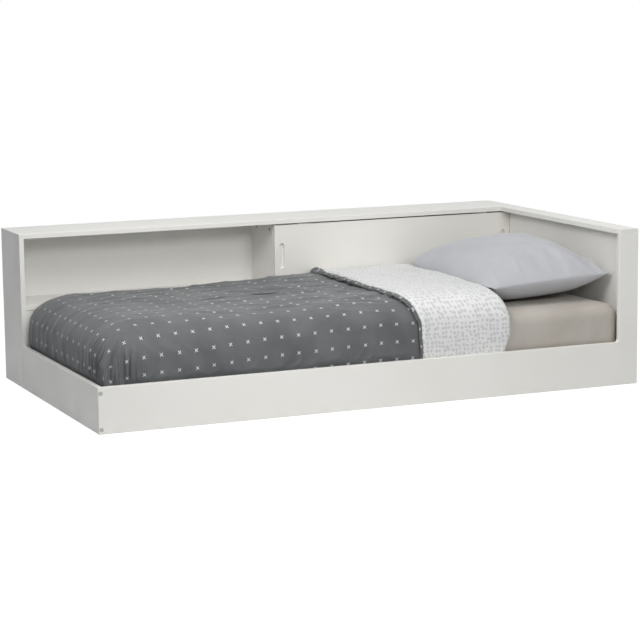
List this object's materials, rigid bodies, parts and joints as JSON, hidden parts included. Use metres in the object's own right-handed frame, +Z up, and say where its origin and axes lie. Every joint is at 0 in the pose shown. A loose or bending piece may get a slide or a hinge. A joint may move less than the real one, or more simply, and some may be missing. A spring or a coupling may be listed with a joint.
{
  "type": "bookcase headboard bed",
  "caption": "Low white lacquered single bed with a bookcase along its back, a sliding door behind an open compartment, slatted base, mattress, duvet and pillow.",
  "frame": {"origin": "on the floor, under the middle of the bed's outer box", "axes": "+X from the foot end to the head end, +Y from the open front to the bookcase at the back, +Z up"},
  "size_m": [2.108, 1.196, 0.585],
  "materials": {
    "white_lacquer": "satin",
    "door_lacquer": "satin",
    "white_hardboard": "matte",
    "track_plastic": "matte",
    "nylon": "satin",
    "zinc_plated_steel": "satin",
    "grey_zinc": "satin",
    "beech": "matte",
    "birch": "matte",
    "pine": "matte",
    "webbing": "matte",
    "ticking": "matte",
    "grey_sheet": "matte",
    "charcoal_cotton": "matte",
    "lilac_grey_cotton": "matte"
  },
  "bodies": {
    "frame": {"front_board": "white_lacquer", "footboard": "white_lacquer", "headboard_panel": "white_lacquer", "headboard_top": "white_lacquer", "bookcase_top": "white_lacquer", "bookcase_side": "white_lacquer", "shelf": "white_lacquer", "divider": "white_lacquer", "lower_divider": "white_lacquer", "front_panel": "white_lacquer", "back_panel_foot": "white_hardboard", "back_panel_head": "white_hardboard", "low_track": "track_plastic", "top_track": "track_plastic", "corner_bolts": "zinc_plated_steel", "barrel_nuts": "zinc_plated_steel", "cam_bolts": "zinc_plated_steel", "bracket": "zinc_plated_steel", "bracket_screws": "zinc_plated_steel", "cams": "grey_zinc", "dowels": "beech", "front_ledger": "pine", "back_ledger": "pine", "front_strap": "webbing", "back_strap": "webbing", "mattress": "ticking", "fitted_sheet": "grey_sheet", "duvet": "charcoal_cotton", "pillow": "lilac_grey_cotton", "slat_01": "birch", "slat_02": "birch", "slat_03": "birch", "slat_04": "birch", "slat_05": "birch", "slat_06": "birch", "slat_07": "birch", "slat_08": "birch", "slat_09": "birch", "slat_10": "birch", "slat_11": "birch", "slat_12": "birch", "slat_13": "birch", "slat_14": "birch"},
    "door": {"sliding_door": "door_lacquer", "door_runners": "nylon", "door_guides": "nylon"}
  },
  "joints": [
    {"name": "door_slide", "type": "slide", "parent": "frame", "child": "door", "axis": [-1, 0, 0], "range_m": [0, 1.012]}
  ]
}
